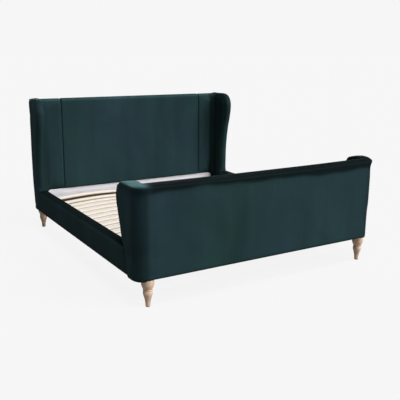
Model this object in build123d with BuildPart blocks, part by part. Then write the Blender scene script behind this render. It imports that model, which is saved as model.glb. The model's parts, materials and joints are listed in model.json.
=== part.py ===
from build123d import *
import os
from math import cos, radians, sin

# Wingback bed for a 1800 x 2000 mattress. Millimetres, floor at z 0, head end towards +Y.

# mattress and the well that holds it
mattress_width = 1800
mattress_length = 2000
side_gap = 10
length_slack = 40
well_length = mattress_length + length_slack
inner_x = mattress_width / 2 + side_gap

# upholstered members
rail_thick = 75
outer_x = inner_x + rail_thick
foot_thick = 80
head_thick = 70
lip_out = 10
leg_height = 185
rail_high = 185
rail_top = leg_height + rail_high
foot_top = 800
head_top = 1155
foam = 20
board = 20
thin_board = 5
fit_gap = 0.5

# lengthwise stations, with y 0 half way along the bed
half_length = (lip_out + foot_thick + well_length + head_thick) / 2
foot_face = -half_length + lip_out
foot_inner = foot_face + foot_thick
head_face = foot_inner + well_length
head_back = head_face + head_thick

# legs
foot_leg_side = 83
foot_leg_x = outer_x - foot_leg_side
foot_leg_in = 43
foot_leg_y = foot_face + foot_leg_in
head_leg_side = 70
head_leg_x = outer_x - head_leg_side
head_leg_in = 30
head_leg_y = head_face + head_leg_in
plate_size = 62
plate_thick = 3
glide_thick = 3
glide_radius = 14
hanger_radius = 4
hanger_up = 40
hanger_down = 45
leg_radius = 39.5
leg_top = leg_height - plate_thick
turned_high = leg_top - glide_thick
# outline of a leg: radius against height over the glide, as shares of its radius and its height
leg_shares = (
    (0.392, 0), (0.43, 0.151), (0.494, 0.235), (0.557, 0.296), (0.646, 0.363), (0.716, 0.43),
    (0.749, 0.497), (0.722, 0.564),
)
ring_shares = ((0.658, 0.592), (0.714, 0.615), (0.658, 0.637))
collar_shares = ((0.709, 0.659), (0.823, 0.715), (0.937, 0.771), (1, 0.838))

# timber
bottom_rail_high = 65
bottom_rail_top = leg_height + bottom_rail_high
foot_rail_in = 15
foot_rail_front = foot_face + foot_rail_in
foot_skin = 10
foot_rail_back = foot_inner - foot_skin
head_skin = 8
head_rail_front = head_face + head_skin
back_panel_thick = 10
head_rail_back = head_back - back_panel_thick
inner_skin = 20
frame_x = inner_x + inner_skin
rail_board_thick = 30
rail_board_lift = 10
rail_board_low = leg_height + rail_board_lift
rail_fold = 25
rail_board_top = rail_top - rail_fold
side_skin_high = 70
side_skin_low = rail_top - side_skin_high
post_width = 80
post_deep = 35
post_front = head_rail_back - post_deep
cross_rail_high = 60
frame_cover = 45
frame_top = head_top - frame_cover
cross_rail_share = 0.41892
cross_rail_mid = rail_top + (frame_top - rail_top) * cross_rail_share
foot_board_in = 30
foot_board_drop = 60
foot_board_top = foot_top - foot_board_drop
former_lift = 10
former_low = rail_top + former_lift

# upholstery of the headboard
corner_strip = 200
seam_x = inner_x - corner_strip
skirt_drop = 29
skirt_z = rail_top - skirt_drop
corner_radius = 45
lining_x = inner_x - corner_radius - fit_gap
lining_thick = 10
top_roll = 26
back_roll = 10
wing_radius = rail_thick / 2
wing_mid = (inner_x + outer_x) / 2
wing_turn = 70
roll_proud = 0.5
wing_reach = 158
wing_low = rail_top + roll_proud * 4
wing_high = head_top - roll_proud - wing_radius - wing_turn - wing_low
# the centre line of the wing's rolled edge: forward reach from the headboard's face against
# height, as shares of the wing's reach and of the height up to its rounded top
wing_reach_shares = (
    (0.4873, 0), (0.5, 0.1126), (0.5253, 0.2993), (0.5759, 0.4237), (0.6456, 0.5481), (0.7468, 0.6711),
    (0.8797, 0.7941), (0.9747, 0.9081), (1, 1),
)
# the curved board inside it, as the same shares
wing_former_low_share = 0.3608
wing_former_shares = (
    (0.4747, 0.4859), (0.7468, 0.7822), (0.7975, 0.9304), (0.6646, 1.0119), (0.2532, 1.0563),
)
cove_bite = 12
wing_foot_reach = 120
rail_back = head_face - wing_foot_reach
back_corner_radius = 46
back_corner_turns = (0, 30, 60, 90)
quarter_turn = 90
slant_share = cos(radians(quarter_turn / 2))

# upholstery of the footboard
foot_radius = 81
return_reach = 294
return_high = foot_top - rail_top
# the return's rear edge: reach behind the footboard's face against height over the rail's top,
# as shares of the return's reach and height
return_reach_shares = (
    (0.6939, 0), (0.7551, 0.1465), (0.8299, 0.3209), (0.8946, 0.4419), (0.949, 0.5605), (0.9898, 0.6628),
    (1, 0.7674), (0.9592, 0.8419), (0.8707, 0.9023), (0.7415, 0.9442), (0.5782, 0.9698), (0.3741, 0.9837),
    (0.2381, 1),
)
return_low_share = 0.517
return_low_reach = return_reach * return_low_share
return_high_reach = return_reach * return_reach_shares[0][0]
# the curved board inside it, as the same shares, up to the footboard's own board
return_former_shares = ((0.6463, 0.5349), (0.6735, 0.7674))
return_former_top_share = 0.6122
# inside, the return thins towards that edge: steps outward as shares of the footboard's
# thickness, at places along it as shares of its reach
taper_shares = ((0, 0.4082), (0.15, 0.6463), (0.425, 0.8844), (0.675, 1.1565))
return_blank = 360
return_clear = 400
rail_edge_round = 9
lip_high = 65
cove_low = foot_top - lip_high
# the coved lip: step out from the front face as shares of the lip, against height as shares of its own
lip_shares = ((0, 0), (0.4, 0.3692), (0.8, 0.6462), (1, 0.7385), (0.5, 0.8615))
# the rounded top behind it, measured from the inner face as shares of the thickness
crown_shares = ((0.75, 0.9692), (0.5, 1), (0.15, 0.9077), (0, 0.6615))

# slats
slat_count = 15
slat_wide = 65
slat_thick = 12
slat_rise = 26
head_slat_gap = 112
head_slat_step = 180
head_slat_front = head_face - head_slat_gap - slat_wide
last_slat_front = head_slat_front - head_slat_step
foot_slat_gap = 73
first_slat_front = foot_inner + foot_slat_gap
slat_pitch = (last_slat_front - first_slat_front) / (slat_count - 1)
ledge_wide = 50
ledge_high = 40
ledge_lift = 81
ledge_top = leg_height + ledge_lift
holder_floor = 4
holder_wall = 3
holder_high = 26
slat_seat = ledge_top + holder_floor
slat_end_gap = 12
slat_outer_x = frame_x - slat_end_gap
slat_inner_x = 14
holder_grip = 34
holder_heel = 6

# centre support
beam_wide = 60
beam_high = 60
beam_low = ledge_top - beam_high
steel = 3
hanger_reach = 45
post_tube_radius = 19
tube_wall = 2
tube_low = 30
cap_high = 8
stem_radius = 5
stem_gap = 0.1
disc_radius = 26
disc_high = 9
disc_edge = 2
disc_slope = 3
nut_high = 6
nut_radius = 9
foot_travel = 12
stem_rise = foot_travel * 3
support_share = 0.3
support_pitch = mattress_length * support_share
support_stations = (-support_pitch, 0, support_pitch)
support_plate = 70

# corner brackets
bracket_leg = 38
bracket_high = 46
bracket_bolt_share = 0.6
bolt_radius = 4
bolt_head_radius = 7
bolt_head_high = 4
bolt_deep = 22

os.makedirs("parts", exist_ok=True)


def save(made, name):
    """Label one made part and write its STEP file."""
    made.part.label = name
    export_step(made.part, f"parts/{name}.step")


def block(low, high):
    """An upright block between two corners, added to the part being built."""
    size = [b - a for a, b in zip(low, high)]
    middle = [(a + b) / 2 for a, b in zip(low, high)]
    with Locations(tuple(middle)):
        Box(*size)


def carve(low, high):
    """Cut the block between two corners away from the part being built."""
    size = [b - a for a, b in zip(low, high)]
    middle = [(a + b) / 2 for a, b in zip(low, high)]
    with Locations(tuple(middle)):
        Box(*size, mode=Mode.SUBTRACT)


def side_face(points, x):
    """A closed outline of (y, z) points, drawn on the upright plane at x."""
    with BuildSketch(Plane.YZ.offset(x)) as outline:
        with BuildLine():
            Polyline(*points, close=True)
        make_face()
    return outline.sketch


def bar_x(radius, start, length, y, z, mode=Mode.ADD):
    """A round bar along X from start, added or cut."""
    with BuildSketch(Plane.YZ.offset(start)) as disc:
        with Locations((y, z)):
            Circle(radius)
    extrude(disc.sketch, amount=length, mode=mode)


def bar_z(radius, x, y, low, high, mode=Mode.ADD):
    """A round upright bar between two heights, added or cut."""
    with Locations((x, y, (low + high) / 2)):
        Cylinder(radius, high - low, mode=mode)


def leg_points(shares):
    """Points of a leg's outline as (radius, height), from shares of its radius and turned height."""
    return [(leg_radius * out, glide_thick + turned_high * up) for out, up in shares]


# Legs: turned and tapered, with a collar, a groove and a ring at the top
body, ring, collar = (leg_points(shares) for shares in (leg_shares, ring_shares, collar_shares))
leg_places = {
    "leg_foot_left": (-foot_leg_x, foot_leg_y),
    "leg_foot_right": (foot_leg_x, foot_leg_y),
    "leg_head_left": (-head_leg_x, head_leg_y),
    "leg_head_right": (head_leg_x, head_leg_y),
}
for name, (x, y) in leg_places.items():
    with BuildPart() as leg:
        with BuildSketch(Plane.XZ) as half:
            with BuildLine():
                Line((0, glide_thick), body[0])
                Spline(*body)
                Spline(body[-1], *ring)
                Spline(ring[-1], *collar)
                Polyline(collar[-1], (leg_radius, leg_top), (0, leg_top), (0, glide_thick))
            make_face()
        revolve(axis=Axis.Z)
        bar_z(hanger_radius, 0, 0, leg_top - hanger_down, leg_top, Mode.SUBTRACT)
    leg.part.position = (x, y, 0)
    save(leg, name)

half_plate = plate_size / 2
with BuildPart() as leg_plates:
    for x, y in leg_places.values():
        block((x - half_plate, y - half_plate, leg_top), (x + half_plate, y + half_plate, leg_height))
        bar_z(hanger_radius, x, y, leg_top, leg_height, Mode.SUBTRACT)
save(leg_plates, "leg_plates")

with BuildPart() as leg_bolts:
    for x, y in leg_places.values():
        bar_z(hanger_radius, x, y, leg_top - hanger_down, leg_height + hanger_up)
save(leg_bolts, "leg_bolts")

with BuildPart() as leg_glides:
    for x, y in leg_places.values():
        bar_z(glide_radius, x, y, 0, glide_thick)
save(leg_glides, "leg_glides")


# Timber frames of the two ends
def bottom_rail(name, front, back, leg_x, leg_y):
    """The timber across one end that carries its two legs."""
    with BuildPart() as rail:
        block((-frame_x, front, leg_height), (frame_x, back, bottom_rail_top))
        for side in (-1, 1):
            bolt_top = leg_height + hanger_up
            bar_z(hanger_radius, side * leg_x, leg_y, leg_height, bolt_top, Mode.SUBTRACT)
    save(rail, name)


bottom_rail("footboard_bottom_rail", foot_rail_front, foot_rail_back, foot_leg_x, foot_leg_y)
bottom_rail("headboard_bottom_rail", head_rail_front, head_rail_back, head_leg_x, head_leg_y)

foot_board_front = foot_face + foot_board_in
foot_board_back = foot_board_front + board
with BuildPart() as footboard_board:
    block((-frame_x, foot_board_front, bottom_rail_top), (frame_x, foot_board_back, foot_board_top))
save(footboard_board, "footboard_board")



def return_points(shares):
    """Points on a return as (y, z), from shares of its reach and of its height over the rail."""
    return [(foot_face + return_reach * out, rail_top + return_high * up) for out, up in shares]


def wing_points(shares):
    """Points on a wing as (y, z), from shares of its reach and of the height to its rounded top."""
    return [(head_face - wing_reach * out, wing_low + wing_high * up) for out, up in shares]


return_board = (
    (foot_board_front, former_low), (foot_face + return_low_reach, former_low),
    *return_points(return_former_shares),
    (foot_face + return_reach * return_former_top_share, foot_board_top),
    (foot_board_front, foot_board_top),
)
with BuildPart() as footboard_side_boards:
    for x in (-frame_x - board, frame_x):
        extrude(side_face(return_board, x), amount=board)
save(footboard_side_boards, "footboard_side_boards")

with BuildPart() as headboard_posts:
    for side in (-1, 1):
        x_pair = sorted((side * frame_x, side * (frame_x - post_width)))
        block((x_pair[0], post_front, bottom_rail_top), (x_pair[1], head_rail_back, frame_top))
save(headboard_posts, "headboard_posts")

post_inner = frame_x - post_width
with BuildPart() as headboard_cross_rails:
    for low in (cross_rail_mid, frame_top - cross_rail_high):
        block((-post_inner, post_front, low), (post_inner, head_rail_back, low + cross_rail_high))
save(headboard_cross_rails, "headboard_cross_rails")

face_board_front = post_front - thin_board
with BuildPart() as headboard_face_board:
    block((-frame_x, face_board_front, bottom_rail_top), (frame_x, post_front, frame_top))
save(headboard_face_board, "headboard_face_board")

wing_former = wing_points(wing_former_shares)
wing_board = (
    (head_rail_back, former_low), (head_face - wing_reach * wing_former_low_share, former_low),
    *wing_former, (head_rail_back, wing_former[-1][1]),
)
for name, x in (("wing_former_left", -frame_x - board), ("wing_former_right", frame_x)):
    with BuildPart() as former:
        extrude(side_face(wing_board, x), amount=board)
    save(former, name)

with BuildPart() as headboard_back_panel:
    panel_low = leg_height + thin_board
    block((-frame_x, head_rail_back, panel_low), (frame_x, head_back, head_top - back_roll))
    fillet(headboard_back_panel.faces().sort_by(Axis.Y)[-1].edges(), radius=thin_board)
save(headboard_back_panel, "headboard_back_panel")

with BuildPart() as headboard_lining:
    lining_front = face_board_front - lining_thick
    block((-lining_x, lining_front, bottom_rail_top), (lining_x, face_board_front, skirt_z))
    # under the coved corners it reaches on to the wings
    reach_x, reach_z = inner_x - fit_gap, side_skin_low - fit_gap
    block((-reach_x, lining_front, bottom_rail_top), (reach_x, face_board_front, reach_z))
save(headboard_lining, "headboard_lining")


# Headboard upholstery: a centre pad and two winged corner pads that roll over the top
def hook_section(low):
    """The headboard pad's section in (y, z): up the front, over the top, down to the frame."""
    with BuildSketch(Plane.YZ) as section:
        with BuildLine():
            roll_mid = top_roll * (1 - slant_share)
            ThreePointArc(
                (head_face, head_top - top_roll), (head_face + roll_mid, head_top - roll_mid),
                (head_face + top_roll, head_top),
            )
            Polyline(
                (head_face + top_roll, head_top), (head_rail_back - back_roll, head_top),
                (head_rail_back, head_top - back_roll), (head_rail_back, frame_top),
                (face_board_front, frame_top), (face_board_front, low), (head_face, low),
                (head_face, head_top - top_roll),
            )
        make_face()
    return section.sketch


with BuildPart() as headboard_centre_pad:
    extrude(hook_section(skirt_z), amount=seam_x, both=True)
save(headboard_centre_pad, "headboard_centre_pad")


def wing_pad(name, side):
    """One corner pad: the flat strip, the coved corner and the wing with its curved front edge."""
    edge = wing_points(wing_reach_shares)
    turn_mid = (edge[-1][0] + wing_turn, edge[-1][1])
    roll_z = edge[-1][1] + wing_turn
    slant = wing_turn * slant_share
    turn_way = (turn_mid[0] - slant, turn_mid[1] + slant)
    under = leg_height - board
    wing_front = head_face - wing_foot_reach * 2
    with BuildPart() as pad:
        # flat strip from the seam to the corner, under the same roll as the centre pad
        strip_wide = inner_x + cove_bite - seam_x
        strip = extrude(hook_section(skirt_z), amount=strip_wide, mode=Mode.PRIVATE)
        add(strip.moved(Location((seam_x, 0, 0))))
        # the wing's flat part behind the centre line of its rolled edge
        with BuildSketch(Plane.YZ.offset(inner_x + roll_proud)) as flat:
            with BuildLine():
                Spline(*edge, tangents=((0, 1), (0, 1)))
                ThreePointArc(edge[-1], turn_way, (turn_mid[0], roll_z))
                Polyline((turn_mid[0], roll_z), (head_back, roll_z), (head_back, rail_top),
                         (edge[0][0], rail_top), edge[0])
            make_face()
        extrude(flat.sketch, amount=rail_thick - roll_proud * 2)
        # the rolled edge, up the front, over the top and straight back
        with BuildLine() as path:
            Spline(*[(wing_mid, y, z) for y, z in edge], tangents=((0, 0, 1), (0, 0, 1)))
            ThreePointArc((wing_mid, *edge[-1]), (wing_mid, *turn_way), (wing_mid, turn_mid[0], roll_z))
            Line((wing_mid, turn_mid[0], roll_z), (wing_mid, head_back, roll_z))
        with BuildSketch(Plane((wing_mid, *edge[0]), z_dir=(0, 0, 1))) as roll:
            Circle(wing_radius)
        sweep(sections=roll.sketch, path=path.wire())
        carve((inner_x - board, wing_front, leg_height), (outer_x + board, head_back, rail_top + fit_gap))
        # below the rail's top the wing is square, and the rail butts against it
        block((inner_x, rail_back, leg_height), (outer_x, head_back, rail_top + thin_board))
        # coved corner between the headboard's face and the wing
        with BuildSketch(Plane.XY.offset(side_skin_low)) as cove:
            with BuildLine():
                corner = (inner_x - corner_radius, head_face - corner_radius)
                CenterArc(corner, corner_radius, quarter_turn, -quarter_turn)
                Polyline((inner_x, corner[1]), (inner_x + cove_bite, corner[1]),
                         (inner_x + cove_bite, face_board_front), (corner[0], face_board_front),
                         (corner[0], head_face))
            make_face()
        extrude(cove.sketch, amount=roll_z + cove_bite - side_skin_low)
        # room for the frame, the former and the side rail's board
        carve((seam_x - board, face_board_front, under), (frame_x, head_back, frame_top))
        carve((corner[0] - board, head_rail_front, under), (frame_x, head_back, bottom_rail_top))
        extrude(side_face(wing_board, frame_x), amount=board, mode=Mode.SUBTRACT)
        carve((frame_x, wing_front, under), (frame_x + rail_board_thick, head_back, rail_board_top))
        carve((inner_x - board, wing_front, under), (frame_x, head_back, side_skin_low))
        # the outer face wraps round the back corner and stops at the back panel
        beyond = head_back + board
        carve((seam_x - board, head_rail_back, under), (frame_x, beyond, head_top + board))
        carve((seam_x - board, head_back, under), (outer_x + board, beyond, head_top + board))
        with BuildSketch(Plane.XY.offset(under)) as corner_cut:
            with BuildLine():
                middle = (outer_x - back_corner_radius, head_back - back_corner_radius)
                turns = [radians(turn) for turn in back_corner_turns]
                bends = [(middle[0] + back_corner_radius * cos(turn),
                          middle[1] + back_corner_radius * sin(turn)) for turn in turns]
                Polyline(*bends, (middle[0], beyond), (outer_x + board, beyond),
                         (outer_x + board, middle[1]), close=True)
            make_face()
        extrude(corner_cut.sketch, amount=head_top, mode=Mode.SUBTRACT)
    if side < 0:
        pad.part = mirror(pad.part, about=Plane.YZ)
    save(pad, name)


wing_pad("wing_pad_left", -1)
wing_pad("wing_pad_right", 1)


# Footboard upholstery: one shell round the front and both returns, with a coved lip that rolls over
def lip_section():
    """The footboard's section in (distance out from the inner face, z)."""
    lip = [(foot_thick + lip_out * out, cove_low + lip_high * up) for out, up in lip_shares]
    crown = [(foot_thick * out, cove_low + lip_high * up) for out, up in crown_shares]
    with BuildLine() as outline:
        Spline(*lip, *crown, tangents=((0, 1), (0, -1)))
        Polyline(crown[-1], (0, leg_height), (foot_thick, leg_height), lip[0])
    return outline


def section_on(plane):
    """The footboard's section as a face on the given plane."""
    with BuildSketch(plane) as made:
        add(lip_section().line)
        make_face()
    return made.sketch


arc_x = inner_x + foot_thick - foot_radius
arc_y = foot_face + foot_radius
return_edge = return_points(return_reach_shares)
clear_y = foot_face + return_clear
under = leg_height - board
with BuildPart() as footboard_cover:
    # half of the shell at a time: front, rounded corner, return
    front_plane = Plane((0, foot_inner, 0), x_dir=(0, -1, 0), z_dir=(-1, 0, 0))
    extrude(section_on(front_plane), amount=-arc_x)
    corner_plane = Plane((arc_x, foot_inner, 0), x_dir=(0, -1, 0), z_dir=(-1, 0, 0))
    turn_axis = Axis((arc_x, arc_y, 0), (0, 0, 1))
    revolve(section_on(corner_plane), axis=turn_axis, revolution_arc=quarter_turn)
    return_plane = Plane((inner_x, arc_y, 0), x_dir=(1, 0, 0), z_dir=(0, -1, 0))
    extrude(section_on(return_plane), amount=-(foot_face + return_blank - arc_y))
    # cut the return along its curved rear edge
    with BuildSketch(Plane.YZ.offset(inner_x - board)) as beyond:
        with BuildLine():
            Spline(*return_edge)
            Polyline(return_edge[-1], (return_edge[-1][0], foot_top + board),
                     (clear_y, foot_top + board), (clear_y, rail_top), return_edge[0])
        make_face()
    extrude(beyond.sketch, amount=foot_thick + board * 3, mode=Mode.SUBTRACT)
    # thin the return from inside towards its rear edge, and round that edge
    with BuildSketch(Plane.XY.offset(rail_top)) as thinning:
        with BuildLine():
            taper = [(inner_x + foot_thick * out, foot_face + return_reach * along)
                     for out, along in taper_shares]
            Spline(*taper)
            Polyline(taper[-1], (inner_x - board, taper[-1][1]), (inner_x - board, taper[0][1]),
                     taper[0])
        make_face()
    extrude(thinning.sketch, amount=foot_top, mode=Mode.SUBTRACT)
    # below the rail's top the rail butts against the return
    low_y, high_y = foot_face + return_low_reach, foot_face + return_high_reach
    low_seam = [(low_y, under), (low_y, leg_height), (high_y, rail_top), (clear_y, rail_top),
                (clear_y, under)]
    extrude(side_face(low_seam, inner_x - board), amount=foot_thick + board * 3, mode=Mode.SUBTRACT)
    mirror(about=Plane.YZ)
    # room for the timber inside, open underneath
    carve((-frame_x, foot_board_front, under), (frame_x, foot_board_back, foot_board_top))
    carve((-frame_x, foot_rail_front, under), (frame_x, foot_rail_back, bottom_rail_top))
    carve((-frame_x, foot_rail_back, under), (frame_x, foot_inner + board, side_skin_low))
    for side in (-1, 1):
        start = frame_x if side > 0 else -frame_x - board
        extrude(side_face(return_board, start), amount=board, mode=Mode.SUBTRACT)
        x_pair = sorted((side * frame_x, side * (frame_x + rail_board_thick)))
        carve((x_pair[0], foot_leg_y, under), (x_pair[1], clear_y, rail_board_top))
        x_pair = sorted((side * (inner_x - board), side * frame_x))
        carve((x_pair[0], foot_inner, under), (x_pair[1], clear_y, side_skin_low))
save(footboard_cover, "footboard_cover")


# Side rails: a board in an upholstered cover that folds over its top
seam_start = [(low_y + fit_gap, leg_height), (high_y + fit_gap, rail_top)]


def bolt_places(side):
    """Where the corner brackets' bolts enter one side rail, as (y, z)."""
    lift = rail_board_low + bracket_high / 2
    inward = bracket_leg * bracket_bolt_share
    return [(foot_rail_back + inward, lift), (head_rail_front - inward, lift)]


for word, side in (("left", -1), ("right", 1)):
    low_x, high_x = sorted((side * frame_x, side * (frame_x + rail_board_thick)))
    with BuildPart() as rail_board:
        block((low_x, foot_leg_y, rail_board_low), (high_x, head_rail_back, rail_board_top))
        for y, z in bolt_places(side):
            bar_x(bolt_radius, side * frame_x, side * bolt_deep, y, z, Mode.SUBTRACT)
    save(rail_board, f"side_rail_board_{word}")

    start, length = (inner_x, rail_thick) if side > 0 else (-outer_x, rail_thick)
    with BuildPart() as rail_cover:
        outline = [seam_start[0], (rail_back, leg_height), (rail_back, rail_top), seam_start[1]]
        extrude(side_face(outline, start), amount=length)
        top_edges = rail_cover.edges().filter_by(Axis.Y).group_by(Axis.Z)[-1]
        fillet(top_edges, radius=rail_edge_round)
        carve((low_x, foot_face, under), (high_x, head_back, rail_board_top))
        skin_pair = sorted((side * (inner_x - board), side * (frame_x + fit_gap)))
        carve((skin_pair[0], foot_face, under), (skin_pair[1], head_back, side_skin_low))
    save(rail_cover, f"side_rail_cover_{word}")

    ledge_pair = sorted((side * frame_x, side * (frame_x - ledge_wide)))
    with BuildPart() as ledge:
        block((ledge_pair[0], foot_rail_back + bracket_leg + board, ledge_top - ledge_high),
              (ledge_pair[1], head_rail_front - bracket_leg - board, ledge_top))
    save(ledge, f"slat_ledge_{word}")

# Corner brackets and their bolts
bracket_top = rail_board_low + bracket_high
with BuildPart() as corner_brackets:
    for side in (-1, 1):
        for wall_y, inward in ((foot_rail_back, 1), (head_rail_front, -1)):
            y_pair = sorted((wall_y, wall_y + inward * bracket_leg))
            x_pair = sorted((side * frame_x, side * (frame_x - steel)))
            block((x_pair[0], y_pair[0], rail_board_low), (x_pair[1], y_pair[1], bracket_top))
            x_pair = sorted((side * frame_x, side * (frame_x - bracket_leg)))
            y_pair = sorted((wall_y, wall_y + inward * steel))
            block((x_pair[0], y_pair[0], rail_board_low), (x_pair[1], y_pair[1], bracket_top))
        for y, z in bolt_places(side):
            bar_x(bolt_radius, side * (frame_x - steel), side * steel, y, z, Mode.SUBTRACT)
save(corner_brackets, "corner_brackets")

with BuildPart() as bracket_bolts:
    for side in (-1, 1):
        for y, z in bolt_places(side):
            bar_x(bolt_radius, side * (frame_x - steel), side * (steel + bolt_deep), y, z)
            bar_x(bolt_head_radius, side * (frame_x - steel), -side * bolt_head_high, y, z)
save(bracket_bolts, "bracket_bolts")

# Centre beam, its hangers and its supports
beam_start = foot_rail_back + steel
beam_end = head_rail_front - steel
with BuildPart() as centre_beam:
    block((-beam_wide / 2, beam_start, beam_low), (beam_wide / 2, beam_end, ledge_top))
save(centre_beam, "centre_beam")

with BuildPart() as beam_hangers:
    for wall_y, inward in ((foot_rail_back, 1), (head_rail_front, -1)):
        y_back = sorted((wall_y, wall_y + inward * steel))
        y_floor = sorted((wall_y, wall_y + inward * hanger_reach))
        side_x = beam_wide / 2
        floor_z = beam_low - steel
        block((-side_x - steel, y_back[0], floor_z), (side_x + steel, y_back[1], bottom_rail_top))
        block((-side_x - steel, y_floor[0], floor_z), (side_x + steel, y_floor[1], beam_low))
        for low_x in (-side_x - steel, side_x):
            block((low_x, y_floor[0], floor_z), (low_x + steel, y_floor[1], ledge_top - steel * 3))
save(beam_hangers, "beam_hangers")

with BuildPart() as centre_legs:
    for y in support_stations:
        block((-support_plate / 2, y - support_plate / 2, beam_low - steel),
              (support_plate / 2, y + support_plate / 2, beam_low))
        bar_z(post_tube_radius, 0, y, tube_low, beam_low - steel)
        bar_z(post_tube_radius - tube_wall, 0, y, tube_low, beam_low - steel, Mode.SUBTRACT)
save(centre_legs, "centre_legs")

with BuildPart() as centre_leg_caps:
    for y in support_stations:
        bar_z(post_tube_radius - tube_wall, 0, y, tube_low, tube_low + cap_high)
        bar_z(stem_radius + stem_gap, 0, y, tube_low, tube_low + cap_high, Mode.SUBTRACT)
save(centre_leg_caps, "centre_leg_caps")

for letter, y in zip("abc", support_stations):
    with BuildPart() as levelling_foot:
        with BuildSketch(Plane.XZ) as half:
            with BuildLine():
                nut_top = disc_high + nut_high
                stem_top = tube_low + cap_high + stem_rise
                Polyline((0, 0), (disc_radius - disc_edge, 0), (disc_radius, disc_edge),
                         (disc_radius, disc_high - disc_slope), (nut_radius, disc_high),
                         (nut_radius, nut_top), (stem_radius, nut_top), (stem_radius, stem_top),
                         (0, stem_top), close=True)
            make_face()
        revolve(axis=Axis.Z)
    levelling_foot.part.position = (0, y, 0)
    save(levelling_foot, f"levelling_foot_{letter}")

# Slats, bowed upwards, in holders on the ledges and on the centre beam
slat_fronts = [head_slat_front] + [last_slat_front - slat_pitch * k for k in range(slat_count)]
half_span = (slat_outer_x - slat_inner_x) / 2
slat_mid = (slat_outer_x + slat_inner_x) / 2


def slat_outline(side):
    """One slat seen from the foot: two arcs a slat's thickness apart."""
    ends = (side * slat_inner_x, side * slat_outer_x)
    with BuildSketch(Plane.XZ) as outline:
        with BuildLine():
            upper = slat_seat + slat_thick
            crown = (side * slat_mid, slat_seat + slat_rise)
            low = ThreePointArc((ends[0], slat_seat), crown, (ends[1], slat_seat))
            high = ThreePointArc((ends[0], upper), (crown[0], crown[1] + slat_thick), (ends[1], upper))
            Line(low @ 0, high @ 0)
            Line(low @ 1, high @ 1)
        make_face()
    return outline.sketch


for word, side in (("left", -1), ("right", 1)):
    with BuildPart() as slats:
        for front in slat_fronts:
            slat = extrude(slat_outline(side), amount=-slat_wide, mode=Mode.PRIVATE)
            add(slat.moved(Location((0, front, 0))))
    save(slats, f"slats_{word}")

# a holder is an open-ended sleeve: a floor, two cheeks and a roof, cut to the slat's own curve
holder_wide = slat_wide + holder_wall * 2
sleeve_top = slat_seat + holder_high


def holder(x_low, x_high, front):
    """One sleeve round the end of one slat."""
    block((x_low, front - holder_wall, ledge_top), (x_high, front + slat_wide + holder_wall, sleeve_top))


for word, side in (("left", -1), ("right", 1)):
    with BuildPart() as holders:
        x_pair = sorted((side * (slat_outer_x + holder_heel), side * (slat_outer_x - holder_grip)))
        for front in slat_fronts:
            holder(x_pair[0], x_pair[1], front)
        for front in slat_fronts:
            slat = extrude(slat_outline(side), amount=-slat_wide, mode=Mode.PRIVATE)
            add(slat.moved(Location((0, front, 0))), mode=Mode.SUBTRACT)
    save(holders, f"slat_holders_{word}")

with BuildPart() as centre_holders:
    for front in slat_fronts:
        holder(-slat_inner_x - holder_grip, slat_inner_x + holder_grip, front)
    for side in (-1, 1):
        for front in slat_fronts:
            slat = extrude(slat_outline(side), amount=-slat_wide, mode=Mode.PRIVATE)
            add(slat.moved(Location((0, front, 0))), mode=Mode.SUBTRACT)
save(centre_holders, "slat_holders_centre")
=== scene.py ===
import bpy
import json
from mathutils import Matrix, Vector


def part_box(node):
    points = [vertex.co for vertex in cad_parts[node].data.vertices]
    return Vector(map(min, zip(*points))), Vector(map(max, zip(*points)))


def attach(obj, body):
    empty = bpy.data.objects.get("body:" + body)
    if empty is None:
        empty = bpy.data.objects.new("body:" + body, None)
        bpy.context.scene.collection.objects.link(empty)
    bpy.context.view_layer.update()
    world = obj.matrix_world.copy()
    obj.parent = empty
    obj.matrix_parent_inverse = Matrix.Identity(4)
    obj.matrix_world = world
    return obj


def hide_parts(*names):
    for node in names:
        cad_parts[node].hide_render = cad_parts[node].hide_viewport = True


bl_info = {
    "name": "Wingback bed",
    "version": (1, 0, 0),
    "blender": (4, 5, 0),
    "location": "3D View > Sidebar > Wingback bed",
    "description": "Dresses the bed's frame in velvet, lining, slats and turned legs, and sets the studio",
    "category": "Object",
}

import json
from math import copysign, cos, pi, prod, radians, sin
from types import SimpleNamespace

import bpy
from mathutils import Quaternion, Vector

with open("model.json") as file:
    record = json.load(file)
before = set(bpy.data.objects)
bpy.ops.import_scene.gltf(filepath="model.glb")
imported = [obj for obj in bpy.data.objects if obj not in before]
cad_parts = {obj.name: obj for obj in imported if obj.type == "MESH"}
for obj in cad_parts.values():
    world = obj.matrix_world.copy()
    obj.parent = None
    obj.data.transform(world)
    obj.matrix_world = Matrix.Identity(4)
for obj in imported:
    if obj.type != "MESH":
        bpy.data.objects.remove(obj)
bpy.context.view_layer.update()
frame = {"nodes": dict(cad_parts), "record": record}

RAIL_NODE, FOOT_NODE, PAD_NODE = "side_rail_cover_right", "footboard_cover", "headboard_centre_pad"
rail_box, foot_box, pad_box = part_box(RAIL_NODE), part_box(FOOT_NODE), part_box(PAD_NODE)
lining_box, panel_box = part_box("headboard_lining"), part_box("headboard_back_panel")
board_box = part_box("headboard_face_board")
# places that several covers share: the centre pad's seam, face, hem and top, and the rails' two sides
SEAM_X, FACE_Y, SKIRT_Z, TOP_Z = pad_box[1].x, pad_box[0].y, pad_box[0].z, pad_box[1].z
INNER_X, OUTER_X = rail_box[0].x, rail_box[1].x


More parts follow.
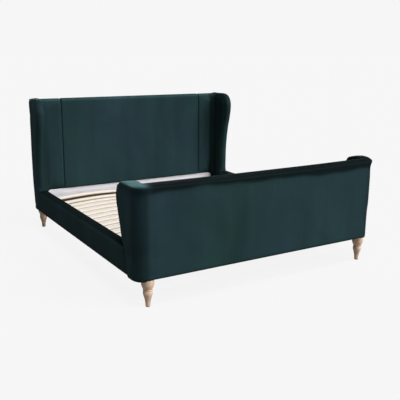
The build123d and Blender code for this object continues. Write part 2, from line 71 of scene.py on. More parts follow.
class UpholsterySizes(bpy.types.PropertyGroup):
    """Sizes of the soft covers."""
    lip: bpy.props.FloatProperty(
        name="Lip", description="How far the footboard's top rolls out past its face",
        default=0.01, subtype="DISTANCE", unit="LENGTH")
    foot_corner: bpy.props.FloatProperty(
        name="Footboard corner", description="Plan radius of the footboard's two front corners",
        default=0.081, subtype="DISTANCE", unit="LENGTH")
    cove: bpy.props.FloatProperty(
        name="Headboard cove", description="Radius of the hollow where the wings meet the headboard",
        default=0.045, subtype="DISTANCE", unit="LENGTH")
    top_roll: bpy.props.FloatProperty(
        name="Top roll", description="Radius of the headboard's top front edge",
        default=0.026, subtype="DISTANCE", unit="LENGTH")
    wing_turn: bpy.props.FloatProperty(
        name="Wing turn", description="Outer radius of the wing's top front corner",
        default=0.1075, subtype="DISTANCE", unit="LENGTH")
    back_corner: bpy.props.FloatProperty(
        name="Back corner", description="Radius of the headboard's back corners",
        default=0.046, subtype="DISTANCE", unit="LENGTH")
    voxel: bpy.props.FloatProperty(
        name="Cloth cell", description="Size of the cloth's cells before subdivision",
        default=0.01, subtype="DISTANCE", unit="LENGTH")
    pressure: bpy.props.FloatProperty(
        name="Foam pressure", description="How hard the foam presses the cover outwards", default=4.0)
    swell: bpy.props.FloatProperty(
        name="Most swell", description="The furthest a cover may stand off its own pattern",
        default=0.006, subtype="DISTANCE", unit="LENGTH")
    hem: bpy.props.FloatProperty(
        name="Hem", description="How far the covers hang below the frame's underside",
        default=0.010, subtype="DISTANCE", unit="LENGTH")
    sag: bpy.props.FloatProperty(
        name="Top sag", description="How far the footboard's top dips between its corners",
        default=0.013, subtype="DISTANCE", unit="LENGTH")
    fill: bpy.props.FloatProperty(
        name="Edge fill", description="How much further soft edges are cut, to make up for their rounding",
        default=0.007, subtype="DISTANCE", unit="LENGTH")
    corner_drop: bpy.props.FloatProperty(
        name="Corner drop", description="How much lower the cover hangs at the footboard's corners",
        default=0.01, subtype="DISTANCE", unit="LENGTH")
    corner_rise: bpy.props.FloatProperty(
        name="Corner rise", description="How far the returns' tops stand above the CAD's",
        default=0.008, subtype="DISTANCE", unit="LENGTH")


class FinishColours(bpy.types.PropertyGroup):
    """Colours of the finishes."""
    velvet: bpy.props.FloatVectorProperty(
        name="Velvet", description="Deep tone of the velvet", default=(0.0168, 0.0385, 0.0435),
        size=3, min=0, max=1, subtype="COLOR")
    velvet_lift: bpy.props.FloatVectorProperty(
        name="Velvet lift", description="Tone of the pile where it is brushed up",
        default=(0.0225, 0.052, 0.0585), size=3, min=0, max=1, subtype="COLOR")
    sheen: bpy.props.FloatVectorProperty(
        name="Sheen", description="Tint of the velvet's sheen", default=(0.2, 0.48, 0.48),
        size=3, min=0, max=1, subtype="COLOR")
    lining: bpy.props.FloatVectorProperty(
        name="Lining", description="Colour of the white lining", default=(0.90, 0.88, 0.92),
        size=3, min=0, max=1, subtype="COLOR")
    leg: bpy.props.FloatVectorProperty(
        name="Legs", description="Colour of the legs' washed wood", default=(0.92, 0.64, 0.46),
        size=3, min=0, max=1, subtype="COLOR")
    slat: bpy.props.FloatVectorProperty(
        name="Slats", description="Colour of the slats' birch", default=(0.92, 0.82, 0.70),
        size=3, min=0, max=1, subtype="COLOR")
    floor: bpy.props.FloatVectorProperty(
        name="Floor", description="Colour of the studio floor", default=(0.77, 0.77, 0.77),
        size=3, min=0, max=1, subtype="COLOR")


class StudioView(bpy.types.PropertyGroup):
    """The camera at the photograph's angle."""
    place: bpy.props.FloatVectorProperty(
        name="Place", description="Where the camera stands", default=(-2.4886, -4.2905, 1.562),
        size=3, subtype="TRANSLATION", unit="LENGTH")
    yaw: bpy.props.FloatProperty(
        name="Yaw", description="Turn from looking along the bed", default=radians(31.21), subtype="ANGLE")
    pitch: bpy.props.FloatProperty(
        name="Pitch", description="How far it looks down", default=radians(13.6), subtype="ANGLE")
    roll: bpy.props.FloatProperty(
        name="Roll", description="Tilt of the camera about its own line of sight", default=radians(0.36),
        subtype="ANGLE")
    lens: bpy.props.FloatProperty(
        name="Lens", description="Focal length in millimetres on a 36 mm wide sensor", default=55.11)


# how close two places are taken as one: mostly, on the shell's faces, and from side to side
SAME, SAME_FINE, SAME_SIDE = 0.0006, 0.0002, 0.001
# points nearer than this are merged
MERGE = 0.00005
# an edge or a normal runs along an axis when that axis has at least this share of its length
AXIS_SHARE = 0.9
# the cloth simulation's quality and length in frames, and the smoothing of the creases that it leaves
CLOTH_QUALITY, CLOTH_FRAMES, CREASE_PASSES, SMOOTH_SHARE = 3, 20, 2, 0.5
# the vertex attribute that holds each point's painted light and shade
PAINTED_LIGHT_NAME = "painted_light_and_shade"


# selection and edit mode
def mode(name):
    """Switch the active piece to edit or object mode."""
    bpy.ops.object.mode_set(mode=name)


def deselect():
    """Leave edit mode, with no piece selected."""
    if bpy.context.mode != "OBJECT":
        mode("OBJECT")
    bpy.ops.object.select_all(action="DESELECT")


def activate(piece):
    """Select one piece alone."""
    deselect()
    piece.select_set(True)
    bpy.context.view_layer.objects.active = piece


def settle_place(piece):
    """Put the piece's place into its mesh, so that its object stands at the origin."""
    activate(piece)
    bpy.ops.object.transform_apply(location=True, rotation=True, scale=True)


def block(name, low, high):
    """A primitive cube between two corners, as the start of a piece."""
    low, high = Vector(low), Vector(high)
    deselect()
    bpy.ops.mesh.primitive_cube_add(size=1, location=(low + high) / 2)
    piece = bpy.context.object
    piece.name = name
    piece.scale = high - low
    settle_place(piece)
    return piece


def pick(piece, kind, test):
    """Select what passes the test in edit mode, and tell whether anything does.

    The test gets a point's place, the places of an edge's two ends, or a face's centre and normal.
    """
    activate(piece)
    mode("EDIT")
    bpy.ops.mesh.select_mode(type=kind)
    bpy.ops.mesh.select_all(action="DESELECT")
    mode("OBJECT")
    mesh = piece.data
    if kind == "VERT":
        rows = [(point, (point.co,)) for point in mesh.vertices]
    elif kind == "EDGE":
        rows = [(edge, [mesh.vertices[i].co for i in edge.vertices]) for edge in mesh.edges]
    else:
        rows = [(face, (face.center, face.normal)) for face in mesh.polygons]
    found = False
    for item, facts in rows:
        item.select = bool(test(*facts))
        found = found or item.select
    mode("EDIT")
    return found


def change(piece, kind, test, operator, **settings):
    """Run a mesh operator on the points, edges or faces that pass the test."""
    if pick(piece, kind, test):
        operator(**settings)
    mode("OBJECT")


def shift(piece, test, move):
    """Move the points that pass the test."""
    change(piece, "VERT", test, bpy.ops.transform.translate, value=move)


def extrude(piece, test, move):
    """Extrude the faces that pass the test."""
    change(piece, "FACE", test, bpy.ops.mesh.extrude_region_move, TRANSFORM_OT_translate={"value": move})


def slice_at(piece, axis, places):
    """Cut edge loops through the piece at these places along one axis."""
    activate(piece)
    mode("EDIT")
    for place in places:
        bpy.ops.mesh.select_all(action="SELECT")
        at, normal = [0, 0, 0], [0, 0, 0]
        at[axis], normal[axis] = place, 1
        bpy.ops.mesh.bisect(plane_co=at, plane_no=normal)
    mode("OBJECT")


def near(a, b, slack=SAME):
    """Whether two measures are the same."""
    return abs(a - b) < slack


def round_edges(piece, test, radius, segments):
    """Round the edges that pass the test."""
    change(piece, "EDGE", test, bpy.ops.mesh.bevel, offset=radius, segments=segments, profile=0.5,
           affect="EDGES")


def round_where(piece, radius, segments, **place):
    """Round the edges whose two ends have these coordinates."""
    def stands_there(a, b):
        return all(near(getattr(co, axis), at) for axis, at in place.items() for co in (a, b))
    round_edges(piece, stands_there, radius, segments)


def divide(piece, test, cuts):
    """Subdivide the edges that pass the test into cuts + 1 parts."""
    change(piece, "EDGE", test, bpy.ops.mesh.subdivide, number_cuts=cuts)


def along(axis, shortest):
    """A test for edges that run along one axis and are longer than shortest."""
    def test(a, b):
        step = b - a
        return abs(step[axis]) > shortest and abs(step[axis]) > AXIS_SHARE * step.length
    return test


def weave(piece, *rows):
    """Cut a cover into cells of cloth, by rows of axis, shortest edge that is divided and number of cuts."""
    for axis, shortest, cuts in rows:
        divide(piece, along(axis, shortest), cuts)


def read_off(shares, height):
    """Linear reading of a table of (value, height) shares."""
    for (v0, h0), (v1, h1) in zip(shares, shares[1:]):
        if h0 <= height <= h1:
            return v0 + (v1 - v0) * (height - h0) / (h1 - h0)
    return shares[0][0] if height < shares[0][1] else shares[-1][0]


# whole pieces
def apply_modifier(piece, kind, **settings):
    """Add one modifier with these settings and apply it."""
    activate(piece)
    modifier = piece.modifiers.new(kind.lower(), kind)
    for key, value in settings.items():
        setattr(modifier, key, value)
    bpy.ops.object.modifier_apply(modifier=modifier.name)


def take_away(piece):
    """Delete a piece that isn't needed any more."""
    activate(piece)
    bpy.ops.object.delete()


def cut_away(piece, tool):
    """Cut a tool piece out of the piece, then take the tool away."""
    apply_modifier(piece, "BOOLEAN", operation="DIFFERENCE", object=tool, solver="EXACT")
    take_away(tool)


def join(pieces):
    """Join pieces into the first one."""
    deselect()
    for piece in pieces:
        piece.select_set(True)
    bpy.context.view_layer.objects.active = pieces[0]
    bpy.ops.object.join()
    return pieces[0]


def copy_of(piece, name, place=(0, 0, 0), across=1):
    """A copy with its own mesh at a place, mirrored in the bed's middle plane where across is -1."""
    activate(piece)
    bpy.ops.object.duplicate()
    copy = bpy.context.object
    copy.name = name
    copy.location = place
    copy.scale.x = across
    settle_place(copy)
    return copy


def mend_normals(piece):
    """Merge points that coincide and turn all faces outwards."""
    activate(piece)
    mode("EDIT")
    bpy.ops.mesh.select_all(action="SELECT")
    bpy.ops.mesh.remove_doubles(threshold=MERGE)
    bpy.ops.mesh.normals_make_consistent(inside=False)
    mode("OBJECT")


def twin(piece, name):
    """The same piece on the bed's other side."""
    copy = copy_of(piece, name, across=-1)
    mend_normals(copy)
    return copy


def cloth_mesh(piece, cell, smoothing):
    """Turn a blocked-out piece into one even skin of small cells."""
    apply_modifier(piece, "REMESH", mode="VOXEL", voxel_size=cell)
    apply_modifier(piece, "SMOOTH", factor=SMOOTH_SHARE, iterations=smoothing)


def pull_over_foam(piece, sizes, stapled, cap=None):
    """Let the cover swell over its foam while its stapled parts stay put, and keep the result."""
    mesh = piece.data
    cap = sizes.swell if cap is None else cap
    pattern = [point.co.copy() for point in mesh.vertices]
    held = piece.vertex_groups.new(name="stapled")
    held.add([i for i, co in enumerate(pattern) if stapled(co)], 1.0, "REPLACE")
    activate(piece)
    cover = piece.modifiers.new("cover", "CLOTH")
    cover.settings.quality = CLOTH_QUALITY
    cover.settings.use_pressure = True
    cover.settings.uniform_pressure_force = sizes.pressure
    cover.settings.effector_weights.gravity = 0
    cover.settings.vertex_group_mass = held.name
    cover.point_cache.frame_start, cover.point_cache.frame_end = 1, CLOTH_FRAMES
    scene = bpy.context.scene
    for step in range(1, CLOTH_FRAMES + 1):
        scene.frame_set(step)
    blown = piece.evaluated_get(bpy.context.evaluated_depsgraph_get()).data
    blown_points = [point.co.copy() for point in blown.vertices]
    piece.modifiers.remove(cover)
    scene.frame_set(1)
    for point, old, new in zip(mesh.vertices, pattern, blown_points):
        move = new - old
        far = move.length
        point.co = old + (move * (cap / far) if far > cap else move)
    piece.vertex_groups.remove(held)
    apply_modifier(piece, "SMOOTH", factor=SMOOTH_SHARE, iterations=CREASE_PASSES)
    apply_modifier(piece, "SUBSURF", levels=1, render_levels=1)
    activate(piece)
    bpy.ops.object.shade_smooth()


def ease(value, start, end):
    """A smooth step from 0 at start to 1 at end."""
    share = min(max((value - start) / (end - start), 0), 1)
    return share * share * (3 - 2 * share)


def bring_in(spans, measures):
    """The share, from 0 to 1, by which these named measures have passed their spans."""
    return prod(ease(measures[name], *span) for name, span in spans.items())


def paint_light_and_shade(piece, rows, measure):
    """Paint light and shade into each vertex: below 0 it is painted shade, above 0 a painted highlight.

    A row holds steps of painted light and shade and the spans of the measures that bring them in.
    """
    painted_light = piece.data.attributes.new(PAINTED_LIGHT_NAME, "FLOAT", "POINT")
    for point in piece.data.vertices:
        measures = measure(point.co)
        painted_light.data[point.index].value = sum(steps * bring_in(spans, measures) for steps, spans in rows)


def dress(piece, material, slot, *nodes, fill=None):
    """Give a piece its finish, its body and the nodes that it stands for."""
    piece.data.materials.clear()
    piece.data.materials.append(material)
    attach(piece, "root")
    if nodes:
        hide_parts(*nodes)


# materials
def plug(tree, node, values):
    """Link sockets into a node's inputs, or write plain values there."""
    for name, value in values.items():
        if isinstance(value, bpy.types.NodeSocket):
            tree.links.new(value, node.inputs[name])
        else:
            node.inputs[name].default_value = value


def make(tree, kind, values, **settings):
    """A node of this kind with its settings and inputs."""
    node = tree.nodes.new("ShaderNode" + kind)
    for name, value in settings.items():
        setattr(node, name, value)
    plug(tree, node, values)
    return node


def start_material(name):
    """A new material with its node tree, its shader and the piece's own coordinates."""
    material = bpy.data.materials.new(name)
    material.use_nodes = True
    tree = material.node_tree
    return material, tree, tree.nodes["Principled BSDF"], make(tree, "TexCoord", {})


def noise(tree, coords, scale, detail=3.0, roughness=0.55, distortion=0.0):
    """A noise pattern on object coordinates; scale is in cycles per metre on each axis."""
    scales = scale if hasattr(scale, "__len__") else (scale,) * 3
    mapping = make(tree, "Mapping", {"Vector": coords.outputs["Object"], "Scale": scales})
    pattern = make(tree, "TexNoise", {"Vector": mapping.outputs["Vector"], "Scale": 1, "Detail": detail,
                                      "Roughness": roughness, "Distortion": distortion})
    return pattern.outputs["Fac"]


def blend_colours(tree, pattern, low, high, spread=(0.3, 0.7)):
    """Two colours, blended where the pattern lies within the spread."""
    ramp = make(tree, "ValToRGB", {"Fac": pattern})
    for element, place, colour in zip(ramp.color_ramp.elements, spread, (low, high)):
        element.position = place
        element.color = (*colour, 1)
    return ramp.outputs["Color"]


def remap(tree, value, low, high, start=0.0, end=1.0):
    """A value that runs from low to high while the given one runs from start to end."""
    ranged = make(tree, "MapRange", {"Value": value, "From Min": start, "From Max": end, "To Min": low,
                                     "To Max": high})
    return ranged.outputs["Result"]


def arithmetic(tree, operation, first, second):
    """Arithmetic on two values, each a socket or a number."""
    return make(tree, "Math", {0: first, 1: second}, operation=operation).outputs["Value"]


def multiply(tree, base, layer, share=1.0):
    """One colour times another, by a share of the way."""
    mix = make(tree, "Mix", {"Factor": share, "A": base, "B": layer}, data_type="RGBA", blend_type="MULTIPLY")
    return mix.outputs["Result"]


def bump_chain(tree, shader, layers):
    """Stack height patterns as (pattern, strength, distance) into one normal."""
    last = {}
    for height, strength, distance in layers:
        bump = make(tree, "Bump", {"Height": height, "Strength": strength, "Distance": distance, **last})
        last = {"Normal": bump.outputs["Normal"]}
    plug(tree, shader, last)


def darker(colour, share):
    """A colour with this share of its light."""
    return tuple(share * part for part in colour)


# one step of painted light makes the colour this many times brighter, and a painted highlight of three steps
# has this tint
PAINTED_LIGHT_STEP, PAINTED_HIGHLIGHT_TINT = 2.2, (1.1, 1.0, 0.82, 1)


def velvet_material(colours):
    """The velvet of all the covers, made once."""
    ready = bpy.data.materials.get("green_velvet")
    if ready is not None:
        return ready
    material, tree, shader, coords = start_material("green_velvet")
    nap = noise(tree, coords, scale=(2.2, 2.2, 1.4), detail=4, distortion=0.8)
    pile = noise(tree, coords, scale=420, detail=2)
    ribs = noise(tree, coords, scale=(60, 60, 9), detail=3)
    hues = noise(tree, coords, scale=(1.6, 1.6, 1.1), detail=2)
    strokes = noise(tree, coords, scale=(8, 8, 0.9), detail=3)
    layers = (
        (pile, 0.35, (0.55, 0.55, 0.55), (1.25, 1.25, 1.25)),
        (hues, 1.0, (0.95, 1.03, 0.92), (1.02, 0.98, 1.07)),
        (strokes, 1.0, (0.9, 0.9, 0.9), (1.1, 1.1, 1.1)),
    )
    tone = blend_colours(tree, nap, colours.velvet, colours.velvet_lift)
    for pattern, share, low, high in layers:
        tone = multiply(tree, tone, blend_colours(tree, pattern, low, high), share)
    # painted shade and light: upward faces are painted darker, and each vertex's attribute paints it darker
    # below 0 and brighter above 0
    upward = make(tree, "SeparateXYZ", {"Vector": coords.outputs["Normal"]}).outputs["Z"]
    painted_light = make(tree, "Attribute", {}, attribute_name=PAINTED_LIGHT_NAME).outputs["Fac"]
    painted_top_shade = remap(tree, upward, start=0.2, end=0.9, low=0.0, high=-1.0)
    shade = arithmetic(tree, "POWER", PAINTED_LIGHT_STEP, arithmetic(tree, "ADD", painted_top_shade, painted_light))
    highlight_share = remap(tree, painted_light, start=0.0, end=3.0, low=0.0, high=1.0)
    tone = multiply(tree, tone, PAINTED_HIGHLIGHT_TINT, highlight_share)
    shaded = make(tree, "VectorMath", {0: tone, "Scale": shade}, operation="SCALE")
    plug(tree, shader, {
        "Base Color": shaded.outputs["Vector"], "Roughness": remap(tree, nap, low=0.68, high=0.86),
        "Specular IOR Level": 0.05, "Sheen Weight": 0.035, "Sheen Roughness": 0.32,
        "Sheen Tint": (*colours.sheen, 1)})
    bump_chain(tree, shader, [(pile, 0.25, 0.0006), (ribs, 0.05, 0.002)])
    return material


def lining_material(colours):
    """White felted cloth."""
    material, tree, shader, coords = start_material("white_lining")
    felt = noise(tree, coords, scale=260, detail=4)
    soft = noise(tree, coords, scale=7, detail=3)
    tone = blend_colours(tree, soft, darker(colours.lining, 0.88), colours.lining)
    plug(tree, shader, {"Base Color": tone, "Roughness": 0.9, "Sheen Weight": 0.2})
    bump_chain(tree, shader, [(soft, 0.3, 0.004), (felt, 0.3, 0.0005)])
    return material


# wood's pores are this much finer than its grain, and its gloss varies this much both ways
PORE_FINENESS, WOOD_GLOSS_STEP = 6, 0.08


def wood_material(name, colour, grain, shade, rough):
    """Wood with its grain along the axis where its cycles per metre are fewest."""
    material, tree, shader, coords = start_material(name)
    figure = noise(tree, coords, scale=grain, detail=6, roughness=0.6, distortion=0.6)
    pores = noise(tree, coords, scale=tuple(PORE_FINENESS * s for s in grain), detail=2)
    tone = blend_colours(tree, figure, darker(colour, shade), colour, spread=(0.32, 0.66))
    marks = blend_colours(tree, pores, low=(0.6, 0.56, 0.5), high=(1.0, 1.0, 1.0), spread=(0.35, 0.5))
    gloss = remap(tree, figure, low=rough - WOOD_GLOSS_STEP, high=rough + WOOD_GLOSS_STEP)
    plug(tree, shader, {"Base Color": multiply(tree, tone, marks, share=0.25), "Roughness": gloss})
    bump_chain(tree, shader, [(figure, 0.15, 0.0006), (pores, 0.2, 0.0003)])
    return material


# the roughness of metal and plastic varies by these steps, down and up
SMOOTHER, ROUGHER = 0.07, 0.1


def hard_material(name, colour, metallic, rough, scratch):
    """Plated steel, paint or moulded plastic, told apart by its numbers."""
    material, tree, shader, coords = start_material(name)
    wear = noise(tree, coords, scale=45, detail=4)
    skin = noise(tree, coords, scale=scratch, detail=2)
    gloss = remap(tree, wear, low=rough - SMOOTHER, high=rough + ROUGHER)
    tone = blend_colours(tree, wear, darker(colour, 0.8), colour)
    plug(tree, shader, {"Base Color": tone, "Roughness": gloss, "Metallic": metallic})
    bump_chain(tree, shader, [(skin, 0.15, 0.0003)])
    return material


def backing_material():
    """Plain dark cloth in a square weave."""
    material, tree, shader, coords = start_material("backing_cloth")
    warp, weft = (make(tree, "TexWave", {"Vector": coords.outputs["Object"], "Scale": 260}, wave_type="BANDS",
                       bands_direction=way).outputs["Fac"] for way in ("X", "Z"))
    soft = noise(tree, coords, scale=5, detail=3)
    tone = blend_colours(tree, soft, low=(0.014, 0.022, 0.023), high=(0.022, 0.034, 0.036))
    plug(tree, shader, {"Base Color": tone, "Roughness": 0.92})
    bump_chain(tree, shader, [(arithmetic(tree, "MULTIPLY", warp, weft), 0.3, 0.0005)])
    return material


# the floor's own light as the camera sees it and its share there, and what it throws back at the bed
FLOOR_GLOW, GLOW_SHARE, FLOOR_BOUNCE = 0.92, 0.95, 0.34


def seen_or_cast(tree, cast, seen, output):
    """Light the bed with one shader and show the camera the other."""
    camera = make(tree, "LightPath", {}).outputs["Is Camera Ray"]
    mix = make(tree, "MixShader", {"Fac": camera, 1: cast, 2: seen})
    plug(tree, output, {"Surface": mix.outputs["Shader"]})


def floor_material(colours):
    """A pale floor that throws little light back up, as a floor far from the walls of a studio does."""
    material, tree, shader, _ = start_material("studio_floor_paint")
    tree.nodes.remove(shader)
    lit, thrown = (make(tree, "BsdfDiffuse", {"Color": (*colour, 1)}).outputs["BSDF"]
                   for colour in (colours.floor, darker(colours.floor, FLOOR_BOUNCE)))
    glow = make(tree, "Emission", {"Strength": FLOOR_GLOW}).outputs["Emission"]
    seen = make(tree, "MixShader", {"Fac": GLOW_SHARE, 1: lit, 2: glow})
    seen_or_cast(tree, thrown, seen.outputs["Shader"], tree.nodes["Material Output"])
    return material


# the wing's front edge: forward reach from the headboard's face against height, and its roll's radius
WING_SHARES = (
    (0.077, 0.372), (0.079, 0.448), (0.083, 0.574), (0.091, 0.658), (0.102, 0.742), (0.118, 0.825),
    (0.139, 0.908), (0.154, 0.985), (0.158, 1.047),
)
WING_RADIUS, WING_ROLL_SHARE = 0.0375, 0.92
# the wing's plain foot: how far it reaches forward, and how far it stands in at the back
WING_LOW_REACH, WING_STEP_IN = 0.12, 0.004
# the lining's two ends are as high as this, under the wings' coves
LINING_EAR = 0.2995
# blocks run this far into each other before they are merged, and the wing's starts this far out of its edge
OVERLAP, SPARE = 0.012, 0.05
# widths of the stapled edges that the cloth can't leave: of most covers, of the wings and of the lining
STAPLE, WING_STAPLE, LINING_STAPLE = 0.004, 0.012, 0.002
# segments of the large rolls, of upright corners and small rounds, and of a quarter and a full turn
ROLL_STEPS, CORNER_STEPS, SMALL_STEPS, QUARTER_STEPS, ROUND_STEPS = 6, 5, 3, 6, 48


def hooked_pad(name, x_low, x_high, low_z, sizes):
    """A headboard pad: foam down the front, hooked over the frame's top edge."""
    back, frame_top, frame_face = panel_box[0].y, board_box[1].z, board_box[0].y
    pad = block(name, (x_low, FACE_Y, low_z), (x_high, frame_face, TOP_Z))
    slice_at(pad, 2, [frame_top])
    extrude(pad, lambda at, way: way.y > AXIS_SHARE and at.z > frame_top, (0, back - frame_face, 0))
    round_where(pad, sizes.top_roll, ROLL_STEPS, z=TOP_Z, y=FACE_Y)
    round_where(pad, radius=0.01, segments=SMALL_STEPS, z=TOP_Z, y=back)
    return pad


def wing_slab(sizes):
    """The right wing above its foot, with its front edge rolled and turned back over its top."""
    outline = [(FACE_Y - reach - WING_RADIUS - sizes.fill, z) for reach, z in WING_SHARES]
    turn_y, turn_z = outline[-1][0] + sizes.wing_turn, outline[-1][1]
    for step in range(1, QUARTER_STEPS + 1):
        angle = radians(90 * step / QUARTER_STEPS)
        outline.append((turn_y - sizes.wing_turn * cos(angle), turn_z + sizes.wing_turn * sin(angle)))
    start, top, back = min(y for y, _ in outline) - SPARE, outline[-1][1], panel_box[1].y
    slab = block("wing_cover_right", (INNER_X, start, outline[0][1]), (OUTER_X, back, top))
    slice_at(slab, 2, [z for _, z in outline[1:-1]])
    for y, z in outline:
        shift(slab, lambda co, z=z: near(co.z, z) and near(co.y, start), (0, y - start, 0))
    for side in (-1, 1):
        change(slab, "FACE", lambda at, way, side=side: way.x * side > AXIS_SHARE,
               bpy.ops.mesh.dissolve_faces)

    def in_front(co):
        return any(near(co.y, y) and near(co.z, z) for y, z in outline)

    def rolled(a, b):
        at_top = near(a.z, top) and near(b.z, top)
        return near(a.x, b.x, SAME_SIDE) and (at_top or in_front(a) and in_front(b))

    round_edges(slab, rolled, WING_RADIUS * WING_ROLL_SHARE, ROLL_STEPS)
    round_where(slab, sizes.back_corner, CORNER_STEPS, x=OUTER_X, y=back)
    return slab


def wing_foot(sizes):
    """The plain part of the wing beside the rail, down to its hem."""
    back = panel_box[1].y - WING_STEP_IN
    foot = block("wing_foot", (INNER_X, FACE_Y - WING_LOW_REACH, rail_box[0].z - sizes.hem),
                 (OUTER_X, back, WING_SHARES[0][1] + OVERLAP / 2))
    round_where(foot, sizes.back_corner, CORNER_STEPS, x=OUTER_X, y=back)
    return foot


def wing_cove(sizes):
    """The hollow corner between the wing and the headboard's face, cut with a long cylinder."""
    x, y = INNER_X - sizes.cove, FACE_Y - sizes.cove
    top = WING_SHARES[-1][1] + sizes.wing_turn - WING_RADIUS + OVERLAP
    cove = block("wing_cove", (x, y, LINING_EAR), (INNER_X + OVERLAP, board_box[0].y, top))
    deselect()
    bpy.ops.mesh.primitive_cylinder_add(vertices=ROUND_STEPS, radius=sizes.cove, depth=2,
                                        location=(x, y, 0.7))
    hollow = bpy.context.object
    settle_place(hollow)
    cut_away(cove, hollow)
    return cove


# the wings' tops are raised by this many edge fills, to make up for their rounding
WING_LIFT, WING_LIFT_SPANS = 1.3, {"top": (-0.09, -0.02), "inner": (-0.03, 0.02)}


def merged_wing(sizes):
    """The right wing's cover in one skin, swollen over its foam."""
    wing = join([wing_slab(sizes), wing_foot(sizes),
                 hooked_pad("wing_strip", SEAM_X, INNER_X + OVERLAP, SKIRT_Z, sizes), wing_cove(sizes)])
    cloth_mesh(wing, sizes.voxel, smoothing=3)
    pull_over_foam(wing, sizes, lambda co: co.x < SEAM_X + WING_STAPLE or co.z < rail_box[0].z + WING_STAPLE
                   or (co.y > board_box[0].y - STAPLE and co.x < INNER_X))
    for point in wing.data.vertices:
        point.co.z += WING_LIFT * sizes.fill * bring_in(WING_LIFT_SPANS, pad_measures(point.co))
    return wing


# steps of painted light and shade, and the spans that bring them in: a painted highlight along the tops,
# painted shade beside the seams and on the wings' inner sides; the spans run up from the top, outwards from
# the seam and from the wings' inner sides, and forwards from the headboard's face
PAD_PAINTED_LIGHT = ((0.8, {"top": (-0.03, -0.008)}), (-0.9, {"seam": (-0.009, 0)}))
WING_PAINTED_LIGHT = (
    (1.2, {"top": (-0.03, -0.008), "hook": (0, 1)}),
    (-0.9, {"seam": (0.009, 0)}),
    (-0.6, {"inner": (0.03, 0.01), "front": (0.0, 0.03)}),
)
# painted shadow in the corners behind the wings, deeper on the right, where the right wing's shadow falls
CORNER_SHADOW_SPANS = {"inner": (-0.08, -0.06), "front": (0.05, 0.02)}
RIGHT_CORNER_PAINTED_SHADOW, LEFT_CORNER_PAINTED_SHADOW = -1.15, -0.2
# a place belongs to the hook over the frame where it reaches less far forward than this
HOOK_REACH = 0.01


def pad_measures(co):
    """How far a place stands from the headboard's named places."""
    x, front = abs(co.x), FACE_Y - co.y
    return {"top": co.z - TOP_Z, "seam": x - SEAM_X, "inner": x - INNER_X, "front": front,
            "hook": front < HOOK_REACH}


class BED_OT_headboard(bpy.types.Operator):
    """Upholster the headboard: a centre pad and two winged corner pads"""
    bl_idname = "bed.headboard"
    bl_label = "Headboard upholstery"

    def execute(self, context):
        sizes, velvet = context.scene.bed_sizes, velvet_material(context.scene.bed_colours)
        centre = hooked_pad("headboard_centre_cover", -SEAM_X, SEAM_X, SKIRT_Z, sizes)
        weave(centre, (0, 0.1, 84), (2, 0.1, 44), (1, 0.015, 2))
        pull_over_foam(centre, sizes, lambda co: abs(co.x) > SEAM_X - STAPLE or co.z < SKIRT_Z + STAPLE
                       or co.y > board_box[0].y - STAPLE)
        paint_light_and_shade(centre, PAD_PAINTED_LIGHT, pad_measures)
        dress(centre, velvet, "velvet", PAD_NODE, fill=0.9)

        right = merged_wing(sizes)
        left = twin(right, "wing_cover_left")
        right.name = "wing_cover_right"
        # the wings get their painted light and shade, with the painted shadow behind each wing
        for wing, pile in ((right, RIGHT_CORNER_PAINTED_SHADOW), (left, LEFT_CORNER_PAINTED_SHADOW)):
            paint_light_and_shade(wing, (*WING_PAINTED_LIGHT, (pile, CORNER_SHADOW_SPANS)), pad_measures)
        dress(right, velvet, "velvet", "wing_pad_right", fill=0.9)
        dress(left, velvet, "velvet", "wing_pad_left", fill=0.9)
        return {"FINISHED"}


# the return's rear edge: reach behind the footboard's face against height
RETURN_SHARES = (
    (0.204, 0.370), (0.222, 0.433), (0.244, 0.508), (0.263, 0.560), (0.279, 0.611), (0.291, 0.655),
    (0.294, 0.700), (0.282, 0.732), (0.256, 0.758), (0.218, 0.776), (0.170, 0.787), (0.110, 0.793),
    (0.070, 0.800),
)
RETURN_LOW_REACH = 0.152
# inside, the return thins towards that edge: outward step against reach
TAPER_SHARES = (
    (0.0, 0.120), (0.005, 0.155), (0.012, 0.190), (0.022, 0.225), (0.034, 0.260), (0.045, 0.300),
    (0.054, 0.340),
)
# the footboard's top section: height, outward face's offset and inner face's offset
LIP_SHARES = (
    (0.735, 0.0, 0.0), (0.750, -0.0025, 0.0), (0.762, -0.0047, 0.0), (0.773, -0.0072, 0.0),
    (0.7795, -0.0092, 0.0015), (0.784, -0.01, 0.0035), (0.7895, -0.0065, 0.007), (0.794, 0.004, 0.012),
    (0.798, 0.018, 0.021),
)
# at the very top the faces stand in by these shares of the thickness, outside and inside
CROWN_SHARES = (0.45, 0.4)
# the shell's rows follow the return's edge up to here, and then the top section
RETURN_ROWS_TOP = 0.72
# the first length of side behind the rounded front corner
SIDE_START = 0.1
# the rear edge is cut this many edge fills further back, reached over this height above the rail
RIM_LIFT, RIM_LIFT_HIGH = 1.5, 0.06
# the part of the rear edge that is rounded, and its shortest upright edge
RIM_FROM, RIM_TO, RIM_SHORTEST = rail_box[1].z - 0.001, 0.752, 0.0008
# the side's cells of cloth: shortest edge, where it begins and ends behind the corner's middle
SIDE_SHORTEST, SIDE_FROM, SIDE_PAST = 0.02, -0.01, 0.05
# the inner face that thins: its two sides from the rail's inner side, and its foot above the rail
THIN_SIDES, THIN_FOOT = (-0.01, 0.03), 0.001
# below this height the shell's inner face is stapled to the frame
INNER_STAPLE_TOP = 0.3


def foot_places(sizes):
    """The footboard's planes and the middle of its rounded front corner, by name."""
    face, outer = foot_box[0].y + sizes.lip, foot_box[1].x - sizes.lip
    return SimpleNamespace(face=face, outer=outer, thick=outer - INNER_X, low=foot_box[0].z - sizes.hem,
                           top=foot_box[1].z, arc_x=outer - sizes.foot_corner, arc_y=face + sizes.foot_corner)


